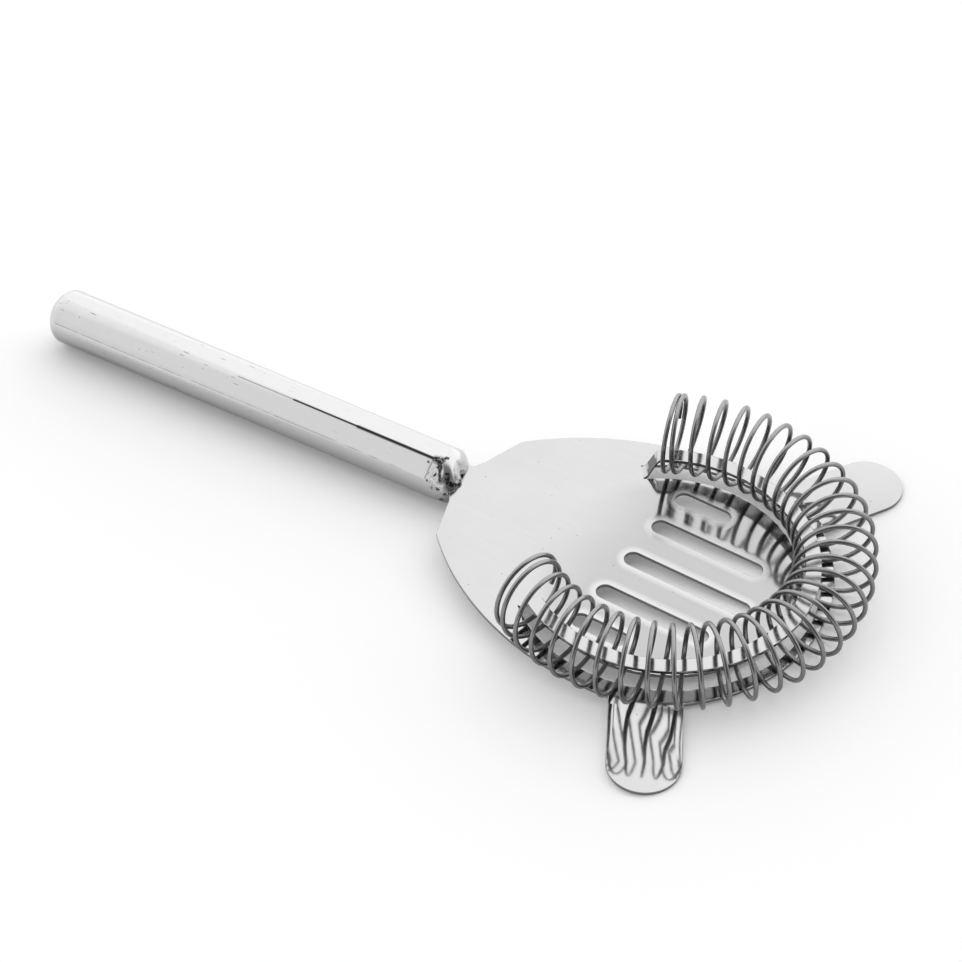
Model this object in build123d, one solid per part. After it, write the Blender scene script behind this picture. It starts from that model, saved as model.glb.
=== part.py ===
from build123d import *
import os
from math import acos, atan2, ceil, cos, degrees, pi, radians, sin, sqrt

# Hawthorne strainer, three separate pieces in one shared frame, millimetres.
# Origin: centre of the round rim, on the upper face of the sheet.
# +X runs from the handle to the tip, +Y to the far side, +Z to the spring side.

# ---- stamped sheet ----
sheet_t = 0.9
rim_r = 41.0
side_r = 70.0
side_inset = 2.6
side_widest_x = 4.5
corner_x = -45.0
shoulder_x = -48.4
shoulder_y = 7.6
shoulder_fillet = 2.5
corner_fillet = 0.6

# ---- drain slots ----
slot_w = 4.3
slot_pitch = 12.0
slot_start_x = -6.3
slot_tip_land = 9.2
slot_side_land = 8.1
slot_long_step = 3.6
slot_short_step = 17.8

# ---- raised strip that carries the spring, and the opening below it ----
strip_cx = 4.1
strip_w = 3.6
strip_kerf = 0.3
rim_w = 2.5
strip_top_z = 5.5
ramp_end_deg = 130.0
ramp_top_deg = 123.0

# ---- two ears ----
ear_deg = 60.4
ear_w = 16.2
ear_tip_r = 65.1
ear_bend_start_r = 44.0
ear_bend_end_r = 50.0
ear_drop = 0.3

# ---- octagonal tube handle ----
tang_bend_x = -49.8
tube_gap = 0.6
handle_len = 116.6
flats_front = 12.5
flats_free = 13.3
tube_wall = 0.9
handle_tilt = 3.2
crease_r = 0.5
free_round = 6.0
front_round = 3.0
front_wall = 1.6
crimp_x = 7.0
crimp_ball_r = 3.2
crimp_depth = 0.5

# ---- tang inside the handle ----
tang_len = 24.6
tang_side_gap = 0.25
tang_slot_gap = 0.04

# ---- coil spring ----
wire_d = 1.1
ring_r = 8.85
coil_past_strip = 4.95
coil_sheet_gap = 0.15
coil_strip_gap = 0.1
coil_head_turns = 0.3
coil_close_gap = 0.0756
coil_second_deg = 119.6
coil_last_open_deg = -120.5
coil_last_deg = -124.0
coil_open_turns = 32
coil_tail_turns = 0.34
coil_end_lift = 0.4
coil_end_turn_deg = 16.0
spans_per_turn = 4

# ---- sizes that follow ----
strip_out_r = rim_r - rim_w - strip_kerf - strip_cx
strip_in_r = strip_out_r - strip_w
slot_mid_end_x = strip_cx + strip_in_r - slot_tip_land
slot_long_end_x = slot_mid_end_x - slot_long_step
slot_outer_end_x = slot_mid_end_x - slot_short_step
slot_outer_y = strip_in_r - slot_side_land
tang_w = flats_front - 2 * tube_wall - 2 * tang_side_gap
mid_z = -sheet_t / 2
side_half_w = rim_r - side_inset

# The coil sits just above the sheet and is sprung out against the strip: at the tip
# the strip's lower inner edge is coil_strip_gap from the inside of the rings.
coil_r = strip_in_r + coil_past_strip
coil_z = ring_r + wire_d / 2 + coil_sheet_gap
ring_inside_r = ring_r - wire_d / 2 - coil_strip_gap
strip_below_ring_centre = coil_z - (strip_top_z - sheet_t)
coil_tip_x = strip_cx + strip_in_r + sqrt(ring_inside_r**2 - strip_below_ring_centre**2)
coil_cx = coil_tip_x - coil_r
coil_end_turn = coil_open_turns + 2 + coil_tail_turns
coil_first_deg = coil_second_deg + degrees((wire_d + coil_close_gap) / coil_r)

os.makedirs("parts", exist_ok=True)


def slab(face, z0, z1):
    """Extrude a flat face lying on z = 0 so that it fills z0 to z1."""
    return Pos(0, 0, z0) * extrude(face, amount=z1 - z0)


def polar(cx, r, deg):
    """Point at an angle on a circle centred on the X axis."""
    return (cx + r * cos(radians(deg)), r * sin(radians(deg)))


def ring_sector(cx, r_in, r_out, half_deg):
    """Flat ring around (cx, 0) kept between -half_deg and +half_deg."""
    far = 3 * r_out
    cut = [(cx, 0), polar(cx, far, half_deg), (cx - far * 2, far), (cx - far * 2, -far)]
    wedge = make_face(Polyline(*cut, polar(cx, far, -half_deg), (cx, 0)))
    return Pos(cx, 0) * (Circle(r_out) - Circle(r_in)) - wedge


def slot_face(x0, x1, y):
    """Round-ended slot from x0 to x1 along the handle direction."""
    return Pos((x0 + x1) / 2, y) * SlotOverall(x1 - x0, slot_w)


# ---- piece 1: strainer plate ----
# The flatter side arc crosses the round rim behind each ear's root.
side_c = Vector(side_widest_x, side_half_w - side_r)
side_way = side_c.normalized()
meet_along = (rim_r**2 - side_r**2 + side_c.length**2) / (2 * side_c.length)
meet_across = sqrt(rim_r**2 - meet_along**2)
meet = (
    side_way.X * meet_along - side_way.Y * meet_across,
    side_way.Y * meet_along + side_way.X * meet_across,
)
corner_y = side_c.Y + sqrt(side_r**2 - (corner_x - side_c.X) ** 2)
corner_ang = degrees(atan2(corner_y - side_c.Y, corner_x - side_c.X))
meet_ang = degrees(atan2(meet[1] - side_c.Y, meet[0] - side_c.X))
side_mid_ang = (corner_ang + meet_ang) / 2
side_mid = (
    side_c.X + side_r * cos(radians(side_mid_ang)),
    side_c.Y + side_r * sin(radians(side_mid_ang)),
)
tang_half = tang_w / 2


def mirrored(p):
    return (p[0], -p[1])


outline = [
    ThreePointArc(meet, (rim_r, 0), mirrored(meet)),
    ThreePointArc(mirrored(meet), mirrored(side_mid), (corner_x, -corner_y)),
    Line((corner_x, -corner_y), (shoulder_x, -shoulder_y)),
    Line((shoulder_x, -shoulder_y), (tang_bend_x, -tang_half)),
    Line((tang_bend_x, -tang_half), (tang_bend_x, tang_half)),
    Line((tang_bend_x, tang_half), (shoulder_x, shoulder_y)),
    Line((shoulder_x, shoulder_y), (corner_x, corner_y)),
    ThreePointArc((corner_x, corner_y), side_mid, meet),
]
blank = make_face(outline)
corners = [v for v in blank.vertices() if abs(v.X - corner_x) < 0.01]
blank = fillet(corners, corner_fillet)
shoulders = [v for v in blank.vertices() if abs(v.X - shoulder_x) < 0.01]
blank = fillet(shoulders, shoulder_fillet)

opening = ring_sector(strip_cx, strip_in_r - strip_kerf, strip_out_r + strip_kerf, ramp_end_deg)
slots = [
    slot_face(slot_start_x, slot_mid_end_x, 0),
    slot_face(slot_start_x, slot_long_end_x, slot_pitch),
    slot_face(slot_start_x, slot_long_end_x, -slot_pitch),
    slot_face(slot_start_x, slot_outer_end_x, slot_outer_y),
    slot_face(slot_start_x, slot_outer_end_x, -slot_outer_y),
]
plate = slab(blank - opening, -sheet_t, 0)
for one in slots:
    plate -= slab(one, -sheet_t, 0)

# Raised strip: level over most of the ring, one straight ramp down at each end.
strip_level = ring_sector(strip_cx, strip_in_r, strip_out_r, ramp_top_deg)
strip = slab(strip_level, strip_top_z - sheet_t, strip_top_z)
ramp_mid_deg = (ramp_end_deg + ramp_top_deg) / 2
strip_mid_r = strip_in_r + strip_w / 2
ramp_run = strip_mid_r * radians(ramp_end_deg - ramp_top_deg)
lap = 1.2
ramp_profile = Polyline(
    (-ramp_run / 2 - lap, -sheet_t),
    (-ramp_run / 2 + sheet_t / 2, -sheet_t),
    (ramp_run / 2 + sheet_t / 2, strip_top_z - sheet_t),
    (ramp_run / 2 + lap + sheet_t, strip_top_z - sheet_t),
    (ramp_run / 2 + lap + sheet_t, strip_top_z),
    (ramp_run / 2 - sheet_t / 2, strip_top_z),
    (-ramp_run / 2 - sheet_t / 2, 0),
    (-ramp_run / 2 - lap, 0),
    close=True,
)
ring_wall = Pos(strip_cx, 0, -5) * extrude(Circle(strip_out_r) - Circle(strip_in_r), amount=15)
for side in (1, -1):
    mid = polar(strip_cx, strip_mid_r, side * ramp_mid_deg)
    uphill = (sin(radians(ramp_mid_deg)), -side * cos(radians(ramp_mid_deg)), 0)
    radial = Vector(0, 0, 1).cross(Vector(*uphill))
    frame = Plane(origin=(mid[0], mid[1], 0), x_dir=uphill, z_dir=-radial)
    ramp = extrude(frame * make_face(ramp_profile), amount=2 * strip_w, both=True)
    strip += ramp & ring_wall
plate += strip

# Ears: round-ended tabs, stepped down a little outside the rim.
ear_half = ear_w / 2
ear_root_r = rim_r - 2.5
ear_flat = Rectangle(ear_tip_r - ear_half - ear_root_r, ear_w, align=(Align.MIN, Align.CENTER))
ear_flat = Pos(ear_root_r, 0) * ear_flat + Pos(ear_tip_r - ear_half, 0) * Circle(ear_half)
ear_side = Polyline(
    (ear_root_r, 0),
    (ear_bend_start_r, 0),
    (ear_bend_end_r, -ear_drop),
    (ear_tip_r + 1, -ear_drop),
    (ear_tip_r + 1, -ear_drop - sheet_t),
    (ear_bend_end_r, -ear_drop - sheet_t),
    (ear_bend_start_r, -sheet_t),
    (ear_root_r, -sheet_t),
    close=True,
)
ear = extrude(Plane.XZ * make_face(ear_side), amount=ear_w, both=True)
ear &= slab(ear_flat, -5, 5)
for side in (1, -1):
    plate += Rot(0, 0, side * ear_deg) * ear

# ---- piece 2: handle tube, drawn along its own axis and then tipped down ----
tang_frame = Pos(tang_bend_x, 0, mid_z) * Rot(0, -handle_tilt, 0)


def octagon_taper(inset, x0, x1):
    """Tapered eight-sided bar between two stations measured back from the front."""
    sections = []
    for x in (x0, x1):
        flats = flats_front + (flats_free - flats_front) * x / handle_len - 2 * inset
        at = Plane(origin=(-x, 0, 0), x_dir=(0, 1, 0), z_dir=(-1, 0, 0))
        shape = RegularPolygon(flats / 2, 8, major_radius=False, rotation=22.5)
        sections.append(at * shape)
    return loft(sections)


def bullet(inset, front, front_r):
    """Round bar with soft ends; it rounds both ends of the eight-sided bar."""
    r = flats_free / 2 / cos(radians(22.5)) - inset
    behind = (Align.CENTER, Align.CENTER, Align.MAX)
    bar = Plane.YZ.offset(-front) * Cylinder(r, handle_len - inset - front, align=behind)
    rims = bar.edges().filter_by(GeomType.CIRCLE).sort_by(Axis.X)
    bar = fillet(rims[0], free_round - inset)
    rims = bar.edges().filter_by(GeomType.CIRCLE).sort_by(Axis.X)
    return fillet(rims[-1], front_r)


tube = octagon_taper(0, 0, handle_len)
long_edges = tube.edges().sort_by(SortBy.LENGTH)[-8:]
tube = fillet(long_edges, crease_r)
tube &= bullet(0, 0, front_round)
bore = octagon_taper(tube_wall, front_wall, handle_len - tube_wall)
bore &= bullet(tube_wall, front_wall, front_round - tube_wall)
tube -= bore
tang_hole = Box(front_wall * 3, tang_w + 2 * tang_slot_gap, sheet_t + 2 * tang_slot_gap)
tube -= tang_hole
crease_out_r = (flats_front / 2) / cos(radians(22.5))
for side in (1, -1):
    out = crease_out_r + crimp_ball_r - crimp_depth
    ball = Pos(-crimp_x, side * out * sin(radians(22.5)), out * cos(radians(22.5))) * Sphere(crimp_ball_r)
    tube -= ball
handle = tang_frame * Pos(-tube_gap, 0, 0) * tube

tang = Pos(-tang_len / 2, 0, 0) * Box(tang_len, tang_w, sheet_t)
plate += tang_frame * tang

# ---- piece 3: coil spring ----
# The centre line is a helix bent round a circle.  It is drawn as short arcs that
# meet in line, so that every stretch of wire is an exact piece of a torus.


def coil_angle(turn):
    """Angle round the rim at a turn count: closed end turns, even pitch between."""
    last_open = coil_open_turns + 1
    if turn < 1:
        return coil_first_deg + (coil_second_deg - coil_first_deg) * turn
    if turn < last_open:
        share = (turn - 1) / coil_open_turns
        return coil_second_deg + (coil_last_open_deg - coil_second_deg) * share
    return coil_last_open_deg + (coil_last_deg - coil_last_open_deg) * (turn - last_open)


def coil_point(turn):
    """Point on the wire centre line; whole turns are the tops of the rings.

    Near both ends of the coil the rings ride up a little and face more to the side.
    """
    round_deg = coil_angle(turn)
    theta = pi / 2 + 2 * pi * turn
    to_end = round_deg / coil_first_deg
    ring_deg = round_deg - coil_end_turn_deg * to_end * (1.5 * to_end**4 - 0.5)
    across = ring_r * cos(theta)
    x, y = polar(coil_cx, coil_r, round_deg)
    x += across * cos(radians(ring_deg))
    y += across * sin(radians(ring_deg))
    return Vector(x, y, coil_z + ring_r * sin(theta) + coil_end_lift * abs(to_end) ** 3)


def coil_tangent(turn):
    step = 0.02
    low = max(-coil_head_turns, turn - step)
    high = min(coil_end_turn, turn + step)
    return (coil_point(high) - coil_point(low)).normalized()


def torus_piece(p, t, q, x_dir):
    """One bend of wire from p, leaving along t, to q; returns faces and end frame."""
    chord = q - p
    axis_dir = t.cross(chord).normalized()
    inward = axis_dir.cross(t)
    centre = p + inward * (chord.dot(chord) / (2 * chord.dot(inward)))
    sweep_deg = degrees(2 * acos(min(1, chord.normalized().dot(t))))
    disc = Plane(origin=p, x_dir=x_dir, z_dir=t) * Circle(wire_d / 2)
    bend = Axis(centre, axis_dir)
    solid = revolve(disc, bend, sweep_deg)
    walls = [f for f in solid.faces() if f.geom_type != GeomType.PLANE]
    turn_axis = Axis((0, 0, 0), axis_dir)
    return walls, t.rotate(turn_axis, sweep_deg), x_dir.rotate(turn_axis, sweep_deg)


coil_turns = coil_head_turns + coil_end_turn
span_count = ceil(coil_turns * spans_per_turn)
stations = [coil_turns * i / span_count - coil_head_turns for i in range(span_count + 1)]
here = coil_point(stations[0])
heading = coil_tangent(stations[0])
side_dir = heading.cross(Vector(0, 1, 0)).normalized()
wire_faces = [(Plane(origin=here, x_dir=side_dir, z_dir=heading) * Circle(wire_d / 2)).faces()[0]]
for turn in stations[1:]:
    there = coil_point(turn)
    arrive = coil_tangent(turn)
    v = there - here
    both = heading + arrive
    spread = 2 * (1 - heading.dot(arrive))
    reach = (-v.dot(both) + sqrt(v.dot(both) ** 2 + spread * v.dot(v))) / spread
    joint = (here + there + (heading - arrive) * reach) * 0.5
    walls, heading, side_dir = torus_piece(here, heading, joint, side_dir)
    wire_faces += walls
    walls, heading, side_dir = torus_piece(joint, heading, there, side_dir)
    wire_faces += walls
    here = there
wire_faces.append((Plane(origin=here, x_dir=side_dir, z_dir=heading) * Circle(wire_d / 2)).faces()[0])
spring = Solid(Shell(wire_faces))

for name, solid in (("strainer_plate", plate), ("handle_tube", handle), ("coil_spring", spring)):
    export_step(solid.solids()[0], f"parts/{name}.step")
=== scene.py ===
from math import asin, atan2, cos, degrees, exp, hypot, pi, radians, sin, sqrt, tan

import bmesh
import bpy
from mathutils import Matrix, Vector


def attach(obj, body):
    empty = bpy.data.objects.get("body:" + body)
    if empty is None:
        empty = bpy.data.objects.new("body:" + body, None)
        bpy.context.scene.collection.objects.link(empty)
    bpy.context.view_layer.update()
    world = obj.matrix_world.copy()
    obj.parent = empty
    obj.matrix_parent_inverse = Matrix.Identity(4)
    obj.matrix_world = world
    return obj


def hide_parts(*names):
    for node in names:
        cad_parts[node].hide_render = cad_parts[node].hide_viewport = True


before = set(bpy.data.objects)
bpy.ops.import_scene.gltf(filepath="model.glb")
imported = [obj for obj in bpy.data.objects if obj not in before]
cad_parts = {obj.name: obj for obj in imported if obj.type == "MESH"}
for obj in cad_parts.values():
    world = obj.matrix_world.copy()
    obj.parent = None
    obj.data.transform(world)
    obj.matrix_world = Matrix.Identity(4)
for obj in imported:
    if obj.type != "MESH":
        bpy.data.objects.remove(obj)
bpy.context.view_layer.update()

# ---------------------------------------------------------------- camera
# A long lens looks down on the strainer from three quarters of a metre away, almost
# straight along its near ear.

view_azimuth = radians(32.1)
view_elevation = radians(44.7)
view_roll = radians(1.16)
view_distance = 0.7518
aim = Vector((-0.0458, 0.0018, 0.0))


def put_in_scene(name, data):
    """A new object that holds the data, at the origin."""
    thing = bpy.data.objects.new(name, data)
    bpy.context.collection.objects.link(thing)
    return thing


camera_data = bpy.data.cameras.new("camera")
camera_data.sensor_width = 36.0
camera_data.lens = 123.6
camera_data.clip_start = 0.05
camera_data.clip_end = 50.0
camera = put_in_scene("camera", camera_data)
bpy.context.scene.camera = camera
camera_turn = (
    Matrix.Rotation(view_azimuth, 4, "Z")
    @ Matrix.Rotation(pi / 2 - view_elevation, 4, "X")
    @ Matrix.Rotation(view_roll, 4, "Z")
)
camera.matrix_world = Matrix.Translation(aim) @ camera_turn @ Matrix.Translation((0, 0, view_distance))

# ---------------------------------------------------------------- strainer plate
# One stamping of 0.9 mm stainless sheet, polished on its face: a round rim with two
# ears, a tang for the handle, five drain slots, and a C-shaped strip that is slit
# free on both sides and pressed up to carry the spring.

sheet = 0.0009
edge_round = 0.00014
rim_radius = 0.041
side_radius = 0.07
side_half_width = 0.0384
side_widest_x = 0.0045
corner_x = -0.045
corner_round = 0.0006
shoulder = Vector((-0.0484, 0.0076))
shoulder_round = 0.0025
tang_start_x = -0.0498
tang_width = 0.0102
tang_length = 0.0246
handle_tilt = radians(3.2)

slot_width = 0.0043
slot_pitch = 0.012
slot_start_x = -0.0063
slot_middle_end_x = 0.0254
slot_long_end_x = 0.0218
slot_outer_y = 0.0224
slot_outer_end_x = 0.0076

strip_centre_x = 0.0041
strip_inner = 0.0305
strip_outer = 0.0341
slit = 0.0003
strip_rise = 0.0055
ramp_foot = radians(130)
ramp_head = radians(123)
ramp_steps = 12

ear_angle = radians(60.4)
ear_width = 0.0162
ear_tip = 0.0651
ear_bend = 0.0412
ear_drop = 0.0003

arc_step = radians(1.5)
side_margin = 0.0002


def arc(centre_x, centre_y, radius, start, end):
    """Points along an arc, both ends included."""
    count = max(2, round(abs(end - start) / arc_step))
    angles = [start + (end - start) * i / count for i in range(count + 1)]
    return [Vector((centre_x + radius * cos(a), centre_y + radius * sin(a))) for a in angles]


def smooth(x, start, end):
    """0 before start, 1 after end, with soft ends between."""
    s = min(1.0, max(0.0, (x - start) / (end - start)))
    return s * s * (3 - 2 * s)


def fillet(before, corner, after, radius):
    """Arc of a radius that rounds the corner between two straight lines."""
    to_before = (before - corner).normalized()
    to_after = (after - corner).normalized()
    half = to_before.angle(to_after) / 2
    bisector = (to_before + to_after).normalized()
    centre = corner + bisector * (radius / sin(half))
    first = corner + to_before * (radius / tan(half))
    last = corner + to_after * (radius / tan(half))
    start = atan2(first.y - centre.y, first.x - centre.x)
    end = atan2(last.y - centre.y, last.x - centre.x)
    turn = (end - start + pi) % (2 * pi) - pi
    return arc(centre.x, centre.y, radius, start, start + turn)


def ear_outline():
    """The +Y ear: the rim angle where its front side starts, and the points of its tip."""
    half = ear_width / 2
    turn = Matrix.Rotation(ear_angle, 2)
    tip = [turn @ p for p in arc(ear_tip - half, 0, half, -pi / 2, pi / 2)]
    return ear_angle - asin(half / rim_radius), tip


def half_outline():
    """The plate's edge on the +Y side, from the tip of the rim back to the tang."""
    ear_start, tip = ear_outline()
    side_centre = Vector((side_widest_x, side_half_width - side_radius))
    corner_y = side_centre.y + sqrt(side_radius**2 - (corner_x - side_centre.x) ** 2)
    corner = Vector((corner_x, corner_y))
    corner_turn = atan2(corner.y - side_centre.y, corner.x - side_centre.x)
    tang_corner = Vector((tang_start_x, tang_width / 2))
    ear_back = Vector((-sin(ear_angle), cos(ear_angle))) * ear_width / 2 - side_centre
    ear_way = Vector((cos(ear_angle), sin(ear_angle)))
    lean = ear_back.dot(ear_way)
    ear_foot = ear_back + ear_way * (sqrt(lean**2 + side_radius**2 - ear_back.length_squared) - lean)
    side = arc(side_centre.x, side_centre.y, side_radius, atan2(ear_foot.y, ear_foot.x), corner_turn)
    points = arc(0, 0, rim_radius, 0, ear_start) + tip + side[:-1]
    points += fillet(side[-2], corner, shoulder, corner_round)
    points += fillet(corner, shoulder, tang_corner, shoulder_round)
    points += [tang_corner, Vector((tang_start_x - tang_length, tang_width / 2))]
    return points


def slot_outline(start_x, end_x, y):
    """Round-ended drain slot that runs along the handle direction."""
    r = slot_width / 2
    return arc(end_x - r, y, r, -pi / 2, pi / 2) + arc(start_x + r, y, r, pi / 2, 3 * pi / 2)


def slit_outline(inner, outer):
    """Narrow C-shaped cut beside the raised strip."""
    far_edge = arc(strip_centre_x, 0, outer, -ramp_foot, ramp_foot)
    near_edge = arc(strip_centre_x, 0, inner, ramp_foot, -ramp_foot)
    return far_edge + near_edge


def worked_out(thing):
    """A plain mesh of an object, with its curve or its modifiers worked out."""
    return bpy.data.meshes.new_from_object(thing.evaluated_get(bpy.context.evaluated_depsgraph_get()))


def flat_sheet(name, outlines, thickness, rounding):
    """A mesh of sheet metal with rounded edges; outlines inside the first are holes."""
    curve = bpy.data.curves.new(name, "CURVE")
    curve.dimensions = "2D"
    curve.fill_mode = "BOTH"
    curve.extrude = thickness / 2 - rounding
    curve.bevel_depth = rounding
    curve.bevel_resolution = 1
    curve.offset = -rounding
    for outline in outlines:
        line = curve.splines.new("POLY")
        line.points.add(len(outline) - 1)
        for point, place in zip(line.points, outline):
            point.co = (place.x, place.y, 0, 1)
        line.use_cyclic_u = True
    drawn = put_in_scene(name, curve)
    mesh = worked_out(drawn)
    bpy.data.objects.remove(drawn)
    bpy.data.curves.remove(curve)
    return mesh


def cut_across(work, faces_wanted, points, normals):
    """Adds edges where planes cross the chosen faces, so that they can bend there."""
    for point, normal in zip(points, normals):
        faces = [f for f in work.faces if faces_wanted(f.calc_center_median())]
        parts = {e for f in faces for e in f.edges} | {v for f in faces for v in f.verts}
        bmesh.ops.bisect_plane(work, geom=faces + list(parts), plane_co=point, plane_no=normal, dist=1e-6)


def on_strip(p):
    """Whether a place lies on the raised strip or its ramps."""
    from_centre = Vector((p.x - strip_centre_x, p.y))
    round_angle = abs(atan2(from_centre.y, from_centre.x))
    return strip_inner - slit / 2 < from_centre.length < strip_outer + slit / 2 and round_angle < ramp_foot


def along_ear(p):
    """Distance from the centre along the nearer ear, or 0 off the ears."""
    along = p.x * cos(ear_angle) + abs(p.y) * sin(ear_angle)
    across = abs(p.x * sin(ear_angle) - abs(p.y) * cos(ear_angle))
    return along if along > ear_bend and across < ear_width / 2 + side_margin else 0.0


half_edge = half_outline()
outline = half_edge + [Vector((p.x, -p.y)) for p in reversed(half_edge)][:-1]
slot_runs = [
    (slot_start_x, slot_middle_end_x, 0.0),
    (slot_start_x, slot_long_end_x, slot_pitch),
    (slot_start_x, slot_long_end_x, -slot_pitch),
    (slot_start_x, slot_outer_end_x, slot_outer_y),
    (slot_start_x, slot_outer_end_x, -slot_outer_y),
]
slots = [slot_outline(start_x, end_x, y) for start_x, end_x, y in slot_runs]
slits = [slit_outline(strip_inner - slit, strip_inner), slit_outline(strip_outer, strip_outer + slit)]
plate_mesh = flat_sheet("plate", [outline] + slots + slits, sheet, edge_round)

work = bmesh.new()
work.from_mesh(plate_mesh)
bmesh.ops.remove_doubles(work, verts=work.verts, dist=1e-6)
bmesh.ops.translate(work, verts=work.verts, vec=(0, 0, -sheet / 2))
strip_centre = (strip_centre_x, 0, 0)
ramp_angles = [ramp_foot + (ramp_head - ramp_foot) * i / ramp_steps for i in range(ramp_steps + 1)]
for side in (1, -1):
    foot_cut = (-sin(ramp_foot), side * cos(ramp_foot), 0)
    cut_across(work, lambda p: p.y * side > 0, [strip_centre], [foot_cut])
    ear_way = Vector((cos(ear_angle), side * sin(ear_angle), 0))
    cut_across(work, lambda p: p.y * side > 0, [ear_way * ear_bend], [ear_way])
    cut_across(
        work,
        lambda p: on_strip(p) and p.y * side > 0,
        [strip_centre] * len(ramp_angles),
        [(-sin(a), side * cos(a), 0) for a in ramp_angles],
    )
cut_across(work, lambda p: True, [(tang_start_x, 0, 0)], [(1, 0, 0)])
for v in work.verts:
    p = v.co.copy()
    if on_strip(p):
        v.co.z += strip_rise * (1 - smooth(abs(atan2(p.y, p.x - strip_centre_x)), ramp_head, ramp_foot))
    elif along_ear(p) > 0:
        v.co.z -= ear_drop * (along_ear(p) - ear_bend) / (ear_tip - ear_bend)
    elif p.x < tang_start_x:
        v.co.z += (p.x - tang_start_x) * tan(handle_tilt)
bmesh.ops.recalc_face_normals(work, faces=work.faces)
wall = work.faces.layers.float.new("wall")
for face in work.faces:
    face.smooth = True
    face[wall] = 1.0 if abs(face.normal.z) < 0.5 else 0.0
for edge in work.edges:
    level = [abs(face.normal.z) > 0.99999 for face in edge.link_faces]
    edge.smooth = (all(level) or not any(level)) and edge.calc_face_angle(0) < radians(30)
work.to_mesh(plate_mesh)
work.free()
plate = put_in_scene("plate", plate_mesh)


def new_material(name):
    """Empty node material with a metal shader already joined to its output."""
    material = bpy.data.materials.new(name)
    material.use_nodes = True
    shader = material.node_tree.nodes["Principled BSDF"]
    shader.inputs["Metallic"].default_value = 1.0
    return material, material.node_tree, shader


def join(tree, value, socket):
    """Sets a socket to a value, or links another node's output to it."""
    if isinstance(value, bpy.types.NodeSocket):
        tree.links.new(value, socket)
    else:
        socket.default_value = value


def maths(tree, operation, *values):
    """One sum on numbers or on other nodes' outputs."""
    node = tree.nodes.new("ShaderNodeMath")
    node.operation = operation
    for value, socket in zip(values, node.inputs):
        join(tree, value, socket)
    return node.outputs[0]


def vector_maths(tree, operation, first, second):
    """One sum on two vectors, or on a vector and the number that scales it."""
    node = tree.nodes.new("ShaderNodeVectorMath")
    node.operation = operation
    join(tree, first, node.inputs[0])
    join(tree, second, node.inputs["Scale" if operation == "SCALE" else 1])
    return node.outputs["Value" if operation in ("DOT_PRODUCT", "DISTANCE") else "Vector"]


def share(tree, value, low, high, soft=False):
    """0 at low, 1 at high, held outside; soft gives rounded ends."""
    node = tree.nodes.new("ShaderNodeMapRange")
    node.interpolation_type = "SMOOTHSTEP" if soft else "LINEAR"
    join(tree, value, node.inputs["Value"])
    join(tree, low, node.inputs["From Min"])
    join(tree, high, node.inputs["From Max"])
    return node.outputs["Result"]


def rest_of(tree, part):
    """What is left of 1 beside a share."""
    return maths(tree, "SUBTRACT", 1.0, part)


def blend(tree, amount, first, second):
    """Plain mix of two numbers."""
    node = tree.nodes.new("ShaderNodeMix")
    join(tree, amount, node.inputs["Factor"])
    join(tree, first, node.inputs[2])
    join(tree, second, node.inputs[3])
    return node.outputs[0]


def grey(tree, value):
    """A colour with the same amount of red, green and blue."""
    node = tree.nodes.new("ShaderNodeCombineColor")
    for socket in node.inputs:
        join(tree, value, socket)
    return node.outputs[0]


def axes(tree, vector):
    """The X, Y and Z outputs of a vector."""
    node = tree.nodes.new("ShaderNodeSeparateXYZ")
    join(tree, vector, node.inputs[0])
    return node.outputs


def stored(tree, name):
    """A number kept in the mesh by name."""
    node = tree.nodes.new("ShaderNodeAttribute")
    node.attribute_name = name
    return node.outputs["Fac"]


def scaled_noise(tree, place, scale, detail=2.0, stretch=(1, 1, 1)):
    """Even noise, 0 to 1, over a place vector in metres."""
    mapping = tree.nodes.new("ShaderNodeMapping")
    mapping.inputs["Scale"].default_value = stretch
    join(tree, place, mapping.inputs["Vector"])
    noise = tree.nodes.new("ShaderNodeTexNoise")
    noise.inputs["Scale"].default_value = scale
    noise.inputs["Detail"].default_value = detail
    tree.links.new(mapping.outputs[0], noise.inputs["Vector"])
    return noise.outputs["Fac"]


def bumped(tree, shader, height, distance):
    """Adds a height in metres to a shader's surface."""
    bump = tree.nodes.new("ShaderNodeBump")
    bump.inputs["Strength"].default_value = 1.0
    bump.inputs["Distance"].default_value = distance
    join(tree, height, bump.inputs["Height"])
    tree.links.new(bump.outputs[0], shader.inputs["Normal"])


def new_group(name, vectors, numbers, output):
    """An empty shader group, its inputs as outputs to link from, and its one output."""
    group = bpy.data.node_groups.new(name, "ShaderNodeTree")
    for label in vectors:
        group.interface.new_socket(label, in_out="INPUT", socket_type="NodeSocketVector")
    for label in numbers:
        group.interface.new_socket(label, in_out="INPUT", socket_type="NodeSocketFloat")
    group.interface.new_socket(output, in_out="OUTPUT", socket_type="NodeSocketFloat")
    given = group.nodes.new("NodeGroupInput").outputs
    return group, given, group.nodes.new("NodeGroupOutput").inputs[output]


# How far a place lies outside one drain slot.
slot_distance, given, result = new_group("slot_distance", ("Place",), ("Start", "End", "Y"), "Distance")
place_axes = axes(slot_distance, given["Place"])
short_of = maths(slot_distance, "SUBTRACT", given["Start"], place_axes["X"])
beyond = maths(slot_distance, "SUBTRACT", place_axes["X"], given["End"])
outside = maths(slot_distance, "MAXIMUM", maths(slot_distance, "MAXIMUM", short_of, beyond), 0.0)
aside = maths(slot_distance, "SUBTRACT", place_axes["Y"], given["Y"])
aside_squared = maths(slot_distance, "MULTIPLY", aside, aside)
reach = maths(slot_distance, "SQRT", maths(slot_distance, "MULTIPLY_ADD", outside, outside, aside_squared))
join(slot_distance, maths(slot_distance, "SUBTRACT", reach, slot_width / 2), result)

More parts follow.
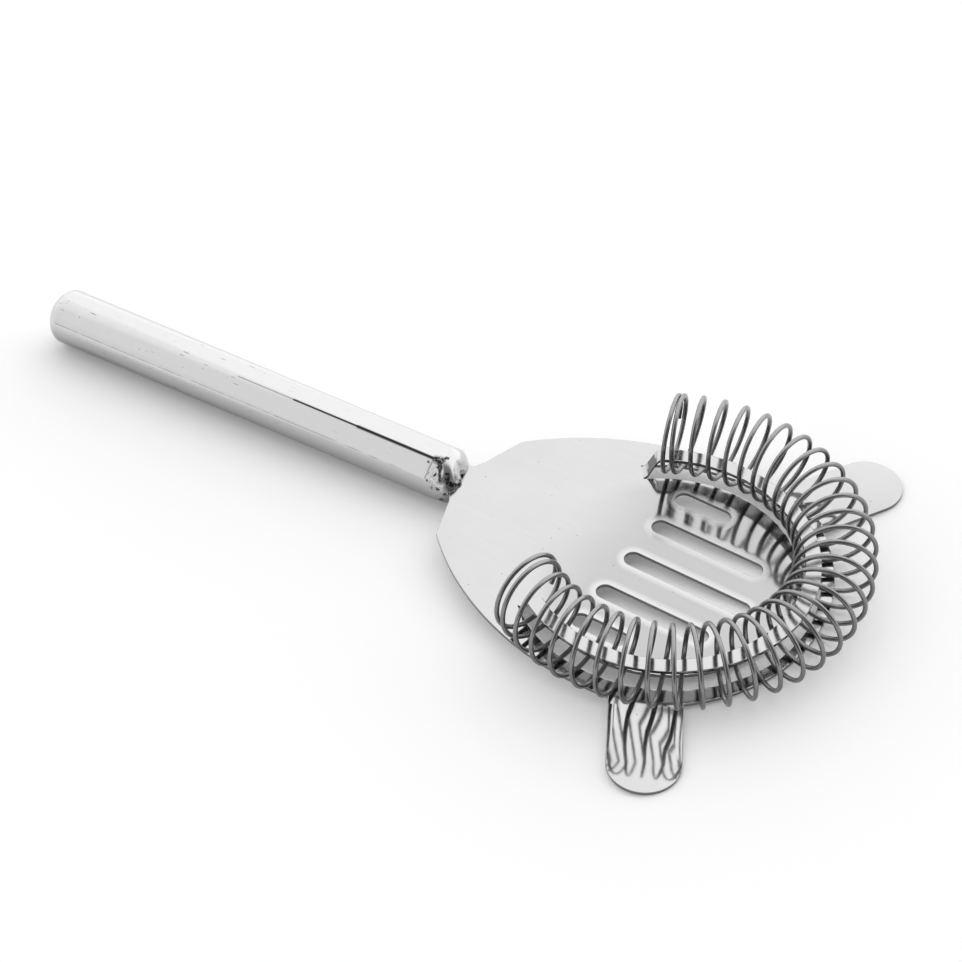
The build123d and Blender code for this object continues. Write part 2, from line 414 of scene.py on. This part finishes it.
# Small round pits scattered over a surface, each of its own size.
pits, given, result = new_group("pits", ("Place",), ("Scale", "Size", "Share kept"), "Mask")
cells = pits.nodes.new("ShaderNodeTexVoronoi")
cells.voronoi_dimensions = "2D"
join(pits, given["Place"], cells.inputs["Vector"])
join(pits, given["Scale"], cells.inputs["Scale"])
chance = pits.nodes.new("ShaderNodeSeparateColor")
join(pits, cells.outputs["Color"], chance.inputs[0])
kept = maths(pits, "LESS_THAN", chance.outputs["Red"], given["Share kept"])
own_size = maths(pits, "MULTIPLY", given["Size"], chance.outputs["Green"])
from_middle = share(pits, cells.outputs["Distance"], maths(pits, "MULTIPLY", own_size, 0.5), own_size)
join(pits, maths(pits, "MULTIPLY", kept, rest_of(pits, from_middle)), result)


def use_group(tree, group, **values):
    """Puts a group in a material, with a value or an output for each of its inputs."""
    node = tree.nodes.new("ShaderNodeGroup")
    node.node_tree = group
    for name, value in values.items():
        join(tree, value, node.inputs[name.replace("_", " ")])
    return node.outputs[0]


sheet_tone = 0.535
coined_tone = 0.62
speck_tone = 0.2
wall_shade_tone = 0.2
centre_shade_depth = 0.2
ear_sheen_tilt = radians(9.5)
ear_ease = 0.004
sheet_relief = 0.00005

plate_steel, tree, shader = new_material("plate_steel")
place = tree.nodes.new("ShaderNodeTexCoord").outputs["Object"]
r = slot_width / 2
to_slot = 1.0
for start_x, end_x, y in slot_runs:
    one = use_group(tree, slot_distance, Place=place, Start=start_x + r, End=end_x - r, Y=y)
    to_slot = maths(tree, "MINIMUM", to_slot, one)
coined = rest_of(tree, share(tree, to_slot, 0.0003, 0.0022, soft=True))
brushed = scaled_noise(tree, place, 900.0, 3.0, (0.12, 1.0, 1.0))
cloudy = scaled_noise(tree, place, 60.0, 2.0)
specks = use_group(tree, pits, Place=place, Scale=260.0, Size=0.07, Share_kept=0.25)
wall_mask = stored(tree, "wall")
tone = maths(tree, "MULTIPLY_ADD", brushed, 0.03, sheet_tone)
tone = maths(tree, "MULTIPLY_ADD", cloudy, 0.05, maths(tree, "SUBTRACT", tone, 0.025))
place_axes = axes(tree, place)
# Painted shade: inside the strip and towards the tip the plate's colour is darkened by a fifth, standing
# for a darker reflection there.
from_strip_centre = vector_maths(tree, "DISTANCE", place, strip_centre)
inside_strip = rest_of(tree, share(tree, from_strip_centre, strip_inner - 0.004, strip_inner))
painted_centre_shade = maths(tree, "MULTIPLY", inside_strip, share(tree, place_axes["X"], -0.026, -0.004, soft=True))
tone = maths(tree, "MULTIPLY", tone, maths(tree, "MULTIPLY_ADD", painted_centre_shade, -centre_shade_depth, 1.0))
tone = blend(tree, coined, tone, coined_tone)
tone = blend(tree, maths(tree, "MULTIPLY", specks, 0.5), tone, speck_tone)
# Painted shade: the sheet's cut edges, the walls of the slots, slits and rim, are painted dark.
tone = blend(tree, wall_mask, tone, wall_shade_tone)
join(tree, grey(tree, tone), shader.inputs["Base Color"])
polish = blend(tree, coined, maths(tree, "MULTIPLY_ADD", brushed, 0.08, 0.07), 0.3)
join(tree, polish, shader.inputs["Roughness"])
pressed_in = maths(tree, "MULTIPLY", coined, -0.6)
wavy = maths(tree, "MULTIPLY_ADD", scaled_noise(tree, place, 140.0, 1.0), 1.0, pressed_in)
# Beyond the rim the ears' surface reads as tipped up a little, and as slightly rippled.
from_middle_line = maths(tree, "ABSOLUTE", place_axes["Y"])
along_x = maths(tree, "MULTIPLY", place_axes["X"], cos(ear_angle))
ear_run = maths(tree, "MULTIPLY_ADD", from_middle_line, sin(ear_angle), along_x)
ear_run = maths(tree, "MAXIMUM", maths(tree, "SUBTRACT", ear_run, rim_radius), 0.0)
run_squared = maths(tree, "MULTIPLY", ear_run, ear_run)
eased_run = maths(tree, "DIVIDE", run_squared, maths(tree, "ADD", ear_run, ear_ease))
upturn = maths(tree, "MULTIPLY", eased_run, tan(ear_sheen_tilt) / sheet_relief)
ripple = maths(tree, "MULTIPLY", scaled_noise(tree, place, 90.0, 0.0), share(tree, ear_run, 0.0, 0.006))
wavy = maths(tree, "ADD", wavy, maths(tree, "MULTIPLY_ADD", ripple, 1.0, upturn))
bumped(tree, shader, wavy, sheet_relief)
plate_mesh.materials.clear()
plate_mesh.materials.append(plate_steel)

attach(plate, "strainer")
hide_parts("strainer_plate")

# ---------------------------------------------------------------- handle
# A thin stainless tube drawn to eight flats, closed to a dome at the free end and
# crimped over the tang at the front. It is a little thicker towards the free end.

handle_length = 0.1166
handle_gap = 0.0006
flats_front = 0.0125
flats_free = 0.0133
crease = 0.0004
worn_crease = 0.0022
worn_corner = 112.5
half_flat = 22.5
free_round = 0.0062
front_round = 0.0042
near_lip = 0.0012
near_lip_from = 0.0085
crimp_along = 0.0034
crimp_around = 148
crimp_length = 0.0022
crimp_width = 25
crimp_depth = 0.00012
pinch_from = 0.0095
pinch_step = 0.00035
mouth_steps = ((0.0002, 0.0003, 0.5), (0.0003, 0.0008, 0.5), (0.0002, 0.0012, 1.0), (-0.0004, 0.0016, 1.0))
tang_gap = 0.0001
tang_front = Matrix.Translation((tang_start_x, 0, -sheet / 2))
tang_turn = Matrix.Rotation(-handle_tilt, 4, "Y")
handle_place = tang_front @ tang_turn @ Matrix.Translation((-handle_gap, 0, 0))


def octagon_reach(angle, half_flats, corner_radius):
    """Distance from the axis to a rounded eight-sided outline in a direction."""
    a = (angle + pi / 8) % (pi / 4) - pi / 8
    flat_half_angle = atan2((half_flats - corner_radius) * tan(pi / 8), half_flats)
    if abs(a) <= flat_half_angle:
        return half_flats / cos(a)
    centre_r = (half_flats - corner_radius) / cos(pi / 8)
    off = pi / 8 - abs(a)
    return centre_r * cos(off) + sqrt(max(0.0, corner_radius**2 - (centre_r * sin(off)) ** 2))


def round_end(distance, radius, reach):
    """Greatest distance from the axis at a depth behind a rounded end."""
    if distance >= radius:
        return reach
    return reach - radius + sqrt(max(0.0, radius**2 - (radius - distance) ** 2))


# Each ring has its points close together at the eight creases, and each end its rings.
corner_turns = (0, 0.6, 1.3, 2.2, 3.4, 5, 7, 9.5, 12.5, 16, 19.5)
ring_angles = []
for corner in range(8):
    middle = (corner + 0.5) * pi / 4
    ring_angles += [middle + radians(t) for t in sorted({-t for t in corner_turns} | set(corner_turns))]
    ring_angles.append(middle + pi / 8)

widest = flats_free / 2 / cos(pi / 8)
widest_front = flats_front / 2 / cos(pi / 8)
stations = [free_round * (1 - cos(pi / 2 * i / 14)) for i in range(15)]
stations += [handle_length * i / 24 for i in range(2, 23)]
stations += [handle_length - pinch_from + pinch_step * i for i in range(17)]
stations += [handle_length - front_round * (1 - sin(pi / 2 * i / 16)) for i in range(17)]
stations = sorted(set(stations))

handle_mesh = bpy.data.meshes.new("handle")
work = bmesh.new()
along = work.verts.layers.float.new("along")
around = work.verts.layers.float.new("around")
mouth = work.verts.layers.float.new("mouth")
rings = []
for from_free in stations:
    from_front = handle_length - from_free
    wear = smooth(from_free, 0.35 * handle_length, 0.75 * handle_length)
    half_flats = (flats_free + (flats_front - flats_free) * from_free / handle_length) / 2
    ring = []
    for angle in ring_angles:
        turned = degrees(angle) % 360
        at_worn_corner = abs(turned - worn_corner) < half_flat
        corner_radius = worn_crease + (crease - worn_crease) * wear if at_worn_corner else crease
        reach = min(
            octagon_reach(angle, half_flats, corner_radius),
            round_end(from_free, free_round, widest),
            round_end(from_front, front_round, widest_front),
        )
        crimp_off = ((from_front - crimp_along) / crimp_length) ** 2
        crimp_off += ((turned - crimp_around) / crimp_width) ** 2
        reach -= crimp_depth * exp(-crimp_off)
        forward = near_lip * smooth(-cos(angle), -0.1, 0.9) * (1 - smooth(from_front, 0, near_lip_from))
        vertex = work.verts.new((forward - from_front, reach * cos(angle), reach * sin(angle)))
        vertex[along] = (from_front - forward) * 1000
        vertex[around] = turned
        ring.append(vertex)
    rings.append(ring)
front_ring = rings[-1]
for forward, inward, depth in mouth_steps:
    ring = []
    for vertex in front_ring:
        out = hypot(vertex.co.y, vertex.co.z)
        shrink = (out - inward) / out
        ring.append(work.verts.new((vertex.co.x + forward, vertex.co.y * shrink, vertex.co.z * shrink)))
        ring[-1][along] = vertex[along]
        ring[-1][around] = vertex[around]
        ring[-1][mouth] = depth
    rings.append(ring)
for first, second in zip(rings, rings[1:]):
    for i in range(len(first)):
        k = (i + 1) % len(first)
        work.faces.new((first[i], first[k], second[k], second[i]))
work.faces.new(rings[0][::-1])
work.faces.new(rings[-1])
bmesh.ops.recalc_face_normals(work, faces=work.faces)
for face in work.faces:
    face.smooth = True
bmesh.ops.transform(work, matrix=handle_place, verts=work.verts)
work.to_mesh(handle_mesh)
work.free()
handle_mesh.set_sharp_from_angle(angle=radians(50))
handle = put_in_scene("handle", handle_mesh)


def room_for_sheet(ahead, behind, width):
    """A unit cube's way to a box a little thicker than the sheet, about the tang's front."""
    box = Matrix.Diagonal((ahead + behind, width, sheet + 2 * tang_gap, 1))
    return Matrix.Translation(((ahead - behind) / 2, 0, 0)) @ box


# One cut for the tang inside, and one for the plate's level shoulder under the near lip.
tang_room = tang_front @ tang_turn @ room_for_sheet(0.0015, tang_length + 0.0025, tang_width + 2 * tang_gap)
shoulder_room = tang_front @ room_for_sheet(0.0056, 0.0004, 0.02)
for room in (tang_room, shoulder_room):
    work = bmesh.new()
    bmesh.ops.create_cube(work, size=1.0, matrix=room)
    room_mesh = bpy.data.meshes.new("room")
    work.to_mesh(room_mesh)
    work.free()
    room_box = put_in_scene("room", room_mesh)
    cut = handle.modifiers.new("room", "BOOLEAN")
    cut.operation = "DIFFERENCE"
    cut.solver = "EXACT"
    cut.object = room_box
    handle.update_tag()
    handle_mesh = worked_out(handle)
    handle.modifiers.remove(cut)
    handle.data = handle_mesh
    bpy.data.objects.remove(room_box)
if len(handle_mesh.polygons) < len(rings):
    raise ValueError("the handle was lost when room for the tang was cut")

# A straight mark on the skin, with soft sides and round ends.
streak, given, result = new_group("streak", ("Skin", "Start", "End"), ("Half width",), "Mask")
run = vector_maths(streak, "SUBTRACT", given["End"], given["Start"])
from_start = vector_maths(streak, "SUBTRACT", given["Skin"], given["Start"])
run_squared = maths(streak, "MAXIMUM", vector_maths(streak, "DOT_PRODUCT", run, run), 1e-6)
part_way = maths(streak, "DIVIDE", vector_maths(streak, "DOT_PRODUCT", from_start, run), run_squared)
part_way.node.use_clamp = True
off_mark = vector_maths(streak, "DISTANCE", from_start, vector_maths(streak, "SCALE", run, part_way))
fade_out = maths(streak, "MULTIPLY_ADD", given["Half width"], 2.4, 0.18)
join(streak, rest_of(streak, share(streak, off_mark, given["Half width"], fade_out, soft=True)), result)

tube_tone = 0.62
underside_shade_tone = 0.3
lip_and_recess_shade_tone = 0.3
marks_and_fold_shade_tone = 0.1
grime_and_shade_tone = 0.02
tube_relief = 0.00004

handle_steel, tree, shader = new_material("handle_steel")
place = tree.nodes.new("ShaderNodeTexCoord").outputs["Object"]
along_mm = stored(tree, "along")
around_deg = stored(tree, "around")
mm_a_degree = 0.115
# The skin is the tube's surface rolled out flat: millimetres from the front, and round.
skin = tree.nodes.new("ShaderNodeCombineXYZ")
join(tree, along_mm, skin.inputs["X"])
join(tree, maths(tree, "MULTIPLY", around_deg, mm_a_degree), skin.inputs["Y"])
skin = skin.outputs["Vector"]
mottle = scaled_noise(tree, place, 500.0, 3.0)
fine = tree.nodes.new("ShaderNodeTexNoise")
fine.inputs["Scale"].default_value = 2200.0
tree.links.new(place, fine.inputs["Vector"])
shaken = vector_maths(tree, "SUBTRACT", fine.outputs["Color"], (0.5, 0.5, 0.5))
rough_skin = vector_maths(tree, "ADD", skin, vector_maths(tree, "SCALE", shaken, 1.1))


def marked(where, start, end, half_width):
    """Mask of one straight mark between two (mm from the front, degrees round) places."""
    ends = [(a, b * mm_a_degree, 0.0) for a, b in (start, end)]
    return use_group(tree, streak, Skin=where, Start=ends[0], End=ends[1], Half_width=half_width)


def strongest(masks):
    """Several masks laid over each other."""
    total = masks[0]
    for mask in masks[1:]:
        total = maths(tree, "MAXIMUM", total, mask)
    return total


open_crease = strongest([
    marked(skin, (5.2, 113.0), (26.0, 112.8), 0.16),
    marked(skin, (26.0, 112.8), (44.0, 112.6), 0.08),
    maths(tree, "MULTIPLY", marked(skin, (44.0, 112.6), (60.0, 112.5), 0.03), 0.5),
])
# Dark strokes at the front: partly grime, partly painted shade in the hollow fold between the lip and the
# near front.
grime_and_fold_shade = strongest([
    marked(rough_skin, (4.4, 111.5), (3.2, 110.0), 0.5),
    marked(rough_skin, (3.9, 110.5), (2.3, 99.4), 0.2),
    marked(rough_skin, (3.7, 111.0), (2.7, 125.5), 0.34),
    marked(rough_skin, (2.7, 125.5), (1.65, 151.5), 0.18),
    marked(rough_skin, (0.5, 132.0), (0.0, 150.0), 0.26),
    marked(rough_skin, (0.0, 150.0), (-1.9, 168.0), 0.4),
])
flecks = strongest([
    marked(rough_skin, at, at, size)
    for at, size in (
        ((5.9, 124.0), 0.14),
        ((3.2, 143.0), 0.2),
        ((3.6, 174.0), 0.16),
        ((4.8, 160.0), 0.1),
        ((2.0, 171.0), 0.22),
        ((0.3, 184.0), 0.2),
        ((1.2, 200.0), 0.24),
    )
])
broken = share(tree, scaled_noise(tree, place, 1500.0, 3.0), 0.3, 0.52, soft=True)
grime_and_fold_shade = maths(tree, "MULTIPLY", strongest([grime_and_fold_shade, flecks]), maths(tree, "MULTIPLY_ADD", broken, 0.6, 0.4))
# Painted shade: thin dark lines in the fold at the crimp, 5 mm from the front, and along the lower crease;
# the bump also presses them in.
fold_shade = strongest([
    marked(skin, (5.0, 115.0), (5.3, 156.0), 0.04),
    maths(
        tree,
        "MULTIPLY",
        marked(skin, (8.0, 157.3), (112.0, 157.5), 0.02),
        share(tree, scaled_noise(tree, place, 250.0), 0.35, 0.55),
    ),
])
spatter_here = marked(skin, (4.2, 125.0), (3.0, 170.0), 0.9)
spatter_here = maths(tree, "MAXIMUM", spatter_here, marked(skin, (2.0, 172.0), (0.8, 198.0), 0.9))
spatter = use_group(tree, pits, Place=skin, Scale=3.2, Size=0.55, Share_kept=0.7)
spatter = maths(tree, "MULTIPLY", spatter, spatter_here)
stretched = tree.nodes.new("ShaderNodeMapping")
stretched.inputs["Scale"].default_value = (0.17, 1.0, 1.0)
tree.links.new(skin, stretched.inputs["Vector"])
free_half = share(tree, along_mm, 42.0, 75.0)
dashes = use_group(tree, pits, Place=stretched.outputs[0], Scale=0.8, Size=0.16, Share_kept=0.4)
dots = use_group(tree, pits, Place=skin, Scale=0.55, Size=0.11, Share_kept=0.35)
scuff_strength = maths(tree, "MULTIPLY_ADD", free_half, 0.75, 0.2)
scuffs = maths(tree, "MULTIPLY", maths(tree, "MAXIMUM", dashes, dots), scuff_strength)

mouth_at = stored(tree, "mouth")
# The turned-in lip at the mouth and the recess behind it are painted a darker grey, which in the recess is
# painted shade; the thin slit just above the sheet inside the mouth is painted near black as shade.
lip_ends = rest_of(tree, share(tree, mouth_at, 0.6, 0.8))
lip = maths(tree, "MULTIPLY", share(tree, mouth_at, 0.1, 0.3), lip_ends)
recess_shade = share(tree, mouth_at, 0.7, 0.95)
slit_shade = rest_of(tree, share(tree, axes(tree, place)["Z"], 0.0003, 0.0009))
inside = maths(tree, "MULTIPLY", recess_shade, slit_shade)
# Painted shade: the near and lower flats, from 160 to 350 degrees round, are painted darker towards the
# underside.
underside_shade_ends = rest_of(tree, share(tree, around_deg, 320.0, 350.0))
painted_underside_shade = maths(tree, "MULTIPLY", share(tree, around_deg, 160.0, 206.0), underside_shade_ends)
# Grey marks: the scuffs and spatter are real marks, the fold lines are painted shade.
marks_and_fold_shade = strongest([
    maths(tree, "MULTIPLY", scuffs, 0.5),
    maths(tree, "MULTIPLY", fold_shade, 0.45),
    maths(tree, "MULTIPLY", spatter, 0.7),
])
# Near black for the open crease, the front grime with its painted fold shade, and the painted shade in the
# slit inside the mouth.
black = strongest([open_crease, grime_and_fold_shade, inside])
tone = maths(tree, "MULTIPLY_ADD", mottle, 0.04, tube_tone)
tone = blend(tree, painted_underside_shade, tone, underside_shade_tone)
tone = blend(tree, maths(tree, "MAXIMUM", lip, recess_shade), tone, lip_and_recess_shade_tone)
tone = blend(tree, marks_and_fold_shade, tone, marks_and_fold_shade_tone)
tone = blend(tree, maths(tree, "MULTIPLY", black, 0.97), tone, grime_and_shade_tone)
join(tree, grey(tree, tone), shader.inputs["Base Color"])
rough = blend(tree, black, maths(tree, "MULTIPLY_ADD", mottle, 0.1, 0.16), 0.6)
join(tree, rough, shader.inputs["Roughness"])
dented = maths(tree, "MULTIPLY_ADD", marks_and_fold_shade, -1.0, scaled_noise(tree, place, 160.0))
bumped(tree, shader, dented, tube_relief)
handle_mesh.materials.clear()
handle_mesh.materials.append(handle_steel)

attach(handle, "strainer")
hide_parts("handle_tube")

# ---------------------------------------------------------------- coil spring
# One stainless wire wound right-handed into thirty-odd open rings, threaded over the
# raised strip, with a closed turn at each end. It is sprung outwards along the strip.

coil_sizes = {
    "Wire radius": 0.00055,
    "Ring radius": 0.00885,
    "Coil radius": 0.03545,
    "Centre X": 0.00569,
    "Height": 0.00955,
    "Head turns": 0.3,
    "Turns": 34.34,
    "First angle": 121.5,
    "Second angle": 119.6,
    "Last open angle": -120.5,
    "Last angle": -124.0,
    "Open turns": 32.0,
    "End lift": 0.0004,
    "End turn": 16.0,
    "Points a turn": 56.0,
}

coil_tree = bpy.data.node_groups.new("wound_coil", "GeometryNodeTree")
coil_tree.interface.new_socket("Geometry", in_out="INPUT", socket_type="NodeSocketGeometry")
coil_inputs = {}
for name in coil_sizes:
    coil_inputs[name] = coil_tree.interface.new_socket(name, in_out="INPUT", socket_type="NodeSocketFloat")
wire_finish = coil_tree.interface.new_socket("Finish", in_out="INPUT", socket_type="NodeSocketMaterial")
coil_tree.interface.new_socket("Geometry", in_out="OUTPUT", socket_type="NodeSocketGeometry")
given = coil_tree.nodes.new("NodeGroupInput").outputs
result = coil_tree.nodes.new("NodeGroupOutput")


def coil_math(operation, *values):
    """One sum inside the coil's tree."""
    return maths(coil_tree, operation, *values)


all_turns = coil_math("ADD", given["Turns"], given["Head turns"])
point_count = coil_math("MULTIPLY", all_turns, given["Points a turn"])
line = coil_tree.nodes.new("GeometryNodeMeshLine")
coil_tree.links.new(point_count, line.inputs["Count"])
to_curve = coil_tree.nodes.new("GeometryNodeMeshToCurve")
coil_tree.links.new(line.outputs["Mesh"], to_curve.inputs["Mesh"])
index = coil_tree.nodes.new("GeometryNodeInputIndex")
part_wound = coil_math("DIVIDE", index.outputs[0], coil_math("SUBTRACT", point_count, 1.0))
turn = coil_math("SUBTRACT", coil_math("MULTIPLY", part_wound, all_turns), given["Head turns"])
# The rings' places round the coil: a closed turn, the open ones, then a closed turn.
last_open_turn = coil_math("ADD", given["Open turns"], 1.0)
turns_left = coil_math("SUBTRACT", given["Turns"], last_open_turn)
angle_parts = [
    coil_math(
        "MULTIPLY",
        coil_math("MINIMUM", turn, 1.0),
        coil_math("SUBTRACT", given["Second angle"], given["First angle"]),
    ),
    coil_math(
        "MULTIPLY",
        share(coil_tree, turn, 1.0, last_open_turn),
        coil_math("SUBTRACT", given["Last open angle"], given["Second angle"]),
    ),
    coil_math(
        "MULTIPLY",
        coil_math("MULTIPLY", share(coil_tree, turn, last_open_turn, given["Turns"]), turns_left),
        coil_math("SUBTRACT", given["Last angle"], given["Last open angle"]),
    ),
]
round_angle = given["First angle"]
for part in angle_parts:
    round_angle = coil_math("ADD", round_angle, part)
# Each ring stands across the coil, and the ones near its ends are swung round a little.
to_end = coil_math("DIVIDE", round_angle, given["First angle"])
swing = coil_math("MULTIPLY_ADD", coil_math("POWER", coil_math("ABSOLUTE", to_end), 4.0), 1.5, -0.5)
swing = coil_math("MULTIPLY", coil_math("MULTIPLY", given["End turn"], to_end), swing)
facing = coil_math("RADIANS", coil_math("SUBTRACT", round_angle, swing))
round_angle = coil_math("RADIANS", round_angle)
ring_angle = coil_math("MULTIPLY_ADD", turn, 2 * pi, pi / 2)
across = coil_math("MULTIPLY", given["Ring radius"], coil_math("COSINE", ring_angle))
lift = coil_math("MULTIPLY", given["End lift"], coil_math("POWER", coil_math("ABSOLUTE", to_end), 3.0))
wire_x = coil_math("MULTIPLY_ADD", across, coil_math("COSINE", facing), given["Centre X"])
wire_x = coil_math("MULTIPLY_ADD", given["Coil radius"], coil_math("COSINE", round_angle), wire_x)
wire_y = coil_math("MULTIPLY", across, coil_math("SINE", facing))
wire_y = coil_math("MULTIPLY_ADD", given["Coil radius"], coil_math("SINE", round_angle), wire_y)
wire_z = coil_math("ADD", given["Height"], lift)
wire_z = coil_math("MULTIPLY_ADD", given["Ring radius"], coil_math("SINE", ring_angle), wire_z)
place = coil_tree.nodes.new("ShaderNodeCombineXYZ")
for value, axis in zip((wire_x, wire_y, wire_z), "XYZ"):
    join(coil_tree, value, place.inputs[axis])
wind = coil_tree.nodes.new("GeometryNodeSetPosition")
coil_tree.links.new(to_curve.outputs["Curve"], wind.inputs["Geometry"])
coil_tree.links.new(place.outputs["Vector"], wind.inputs["Position"])
section = coil_tree.nodes.new("GeometryNodeCurvePrimitiveCircle")
section.inputs["Resolution"].default_value = 14
coil_tree.links.new(given["Wire radius"], section.inputs["Radius"])
draw = coil_tree.nodes.new("GeometryNodeCurveToMesh")
draw.inputs["Fill Caps"].default_value = True
coil_tree.links.new(wind.outputs["Geometry"], draw.inputs["Curve"])
coil_tree.links.new(section.outputs["Curve"], draw.inputs["Profile Curve"])
real = coil_tree.nodes.new("GeometryNodeRealizeInstances")
coil_tree.links.new(draw.outputs["Mesh"], real.inputs["Geometry"])
paint = coil_tree.nodes.new("GeometryNodeSetMaterial")
coil_tree.links.new(real.outputs["Geometry"], paint.inputs["Geometry"])
coil_tree.links.new(given["Finish"], paint.inputs["Material"])
coil_tree.links.new(paint.outputs["Geometry"], result.inputs["Geometry"])

wire_steel, tree, shader = new_material("wire_steel")
place = tree.nodes.new("ShaderNodeTexCoord").outputs["Object"]
drawn_lines = scaled_noise(tree, place, 1800.0, 2.0)
upwards = axes(tree, tree.nodes.new("ShaderNodeTexCoord").outputs["Normal"])["Z"]
# Painted shade: the wire's colour darkens where its surface faces down, from 0.27 on top to 0.07
# underneath.
shade_by_facing = blend(tree, share(tree, upwards, -0.7, 0.9), 0.07, 0.27)
join(tree, grey(tree, maths(tree, "MULTIPLY_ADD", drawn_lines, 0.1, shade_by_facing)), shader.inputs["Base Color"])
shader.inputs["Roughness"].default_value = 0.24

maker = put_in_scene("coil_maker", bpy.data.meshes.new("coil_maker"))
winding = maker.modifiers.new("wound_coil", "NODES")
winding.node_group = coil_tree
for name, size in coil_sizes.items():
    winding[coil_inputs[name].identifier] = size
winding[wire_finish.identifier] = wire_steel
maker.update_tag()
coil_mesh = worked_out(maker)
maker.modifiers.remove(winding)
bpy.data.objects.remove(maker)
for polygon in coil_mesh.polygons:
    polygon.use_smooth = True
coil_mesh.set_sharp_from_angle(angle=radians(50))
coil = put_in_scene("coil", coil_mesh)

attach(coil, "spring")
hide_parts("coil_spring")

# ---------------------------------------------------------------- table and light
# A pale table, tipped to the plane that the ears and the handle's end rest on, under
# a wide white sky that is darker above the side where the near ear points.

ear_back = Vector((ear_tip * cos(ear_angle), 0, -ear_drop - sheet))
handle_back = handle_place @ Vector((-handle_length + free_round, 0, -flats_free / 2))
lean = atan2(ear_back.z - handle_back.z, ear_back.x - handle_back.x)
table_size = 3.0
table_drop = 0.0001
table_glow = 0.11

table_mesh = bpy.data.meshes.new("table")
work = bmesh.new()
bmesh.ops.create_grid(work, x_segments=1, y_segments=1, size=table_size)
table_turn = Matrix.Rotation(-lean, 4, "Y")
table_place = Matrix.Translation(ear_back) @ table_turn @ Matrix.Translation((0, 0, -table_drop))
bmesh.ops.transform(work, matrix=table_place, verts=work.verts)
work.to_mesh(table_mesh)
work.free()
table = put_in_scene("table", table_mesh)

table_finish = bpy.data.materials.new("table_finish")
table_finish.use_nodes = True
tree = table_finish.node_tree
shader = tree.nodes["Principled BSDF"]
shader.inputs["Roughness"].default_value = 0.8
shader.inputs["Specular IOR Level"].default_value = 0.1
shader.inputs["Base Color"].default_value = (0.97, 0.97, 0.97, 1)
shader.inputs["Emission Color"].default_value = (1, 1, 1, 1)
seen = tree.nodes.new("ShaderNodeLightPath")
seen_ray = maths(tree, "MAXIMUM", seen.outputs["Is Camera Ray"], seen.outputs["Is Glossy Ray"])
seen_ray = maths(tree, "MAXIMUM", seen_ray, seen.outputs["Is Transmission Ray"])
join(tree, maths(tree, "MULTIPLY", seen_ray, table_glow), shader.inputs["Emission Strength"])
table_mesh.materials.append(table_finish)

world = bpy.data.worlds.new("sky")
bpy.context.scene.world = world
world.use_nodes = True
tree = world.node_tree
sky = tree.nodes["Background"]
direction = tree.nodes.new("ShaderNodeTexCoord").outputs["Generated"]
shade_way = Vector((0.66, -0.56, 0.5)).normalized()
towards_shade = vector_maths(tree, "DOT_PRODUCT", direction, shade_way)
shade = share(tree, towards_shade, cos(radians(62)), cos(radians(42)), soft=True)
light = blend(tree, shade, maths(tree, "MULTIPLY_ADD", axes(tree, direction)["Y"], 0.3, 1.22), 0.2)
join(tree, light, sky.inputs["Strength"])
sky.inputs["Color"].default_value = (1, 1, 1, 1)

bpy.context.scene.view_settings.view_transform = "Standard"
